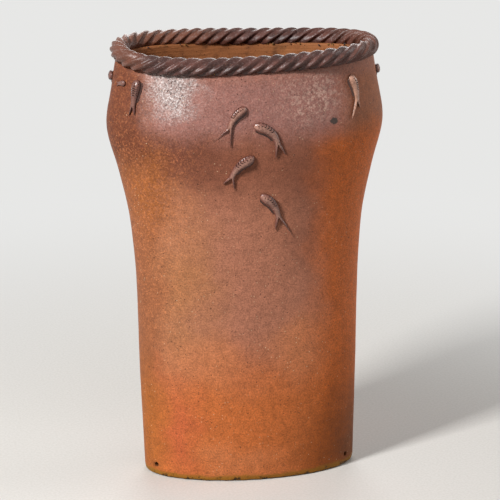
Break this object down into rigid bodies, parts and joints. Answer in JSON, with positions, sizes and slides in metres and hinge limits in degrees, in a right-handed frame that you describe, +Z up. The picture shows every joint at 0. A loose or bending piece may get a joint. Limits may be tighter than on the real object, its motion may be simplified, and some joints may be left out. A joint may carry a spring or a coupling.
{
  "type": "pottery pot",
  "caption": "Tall oval salt-glazed stoneware floor pot with a flared shoulder, a twisted clay roll on the rim, small applied fish and drain holes at the foot",
  "frame": {"origin": "on the floor under the middle of the oval foot", "axes": "+Z up, X along the oval's long axis, -Y towards the face with the loose shoal of four fish"},
  "size_m": [0.4421, 0.2365, 0.71],
  "materials": {
    "wall": "salt-glazed stoneware: purplish brown speckled shoulder fading down to terracotta orange",
    "floor_slab": "bare fired clay, matt",
    "rope_rim": "glossy dark purplish brown salt glaze",
    "fish": "glossy brown salt glaze, paler on the raised edges"
  },
  "bodies": {
    "root": {"wall": "wall", "floor_slab": "floor_slab", "rope_rim": "rope_rim", "fish_front_1": "fish", "fish_front_2": "fish", "fish_front_3": "fish", "fish_front_4": "fish", "fish_left": "fish", "fish_left_small": "fish", "fish_left_end": "fish", "fish_right": "fish", "fish_right_end": "fish", "fish_back_1": "fish", "fish_back_2": "fish", "fish_back_3": "fish", "fish_back_4": "fish"}
  },
  "joints": []
}
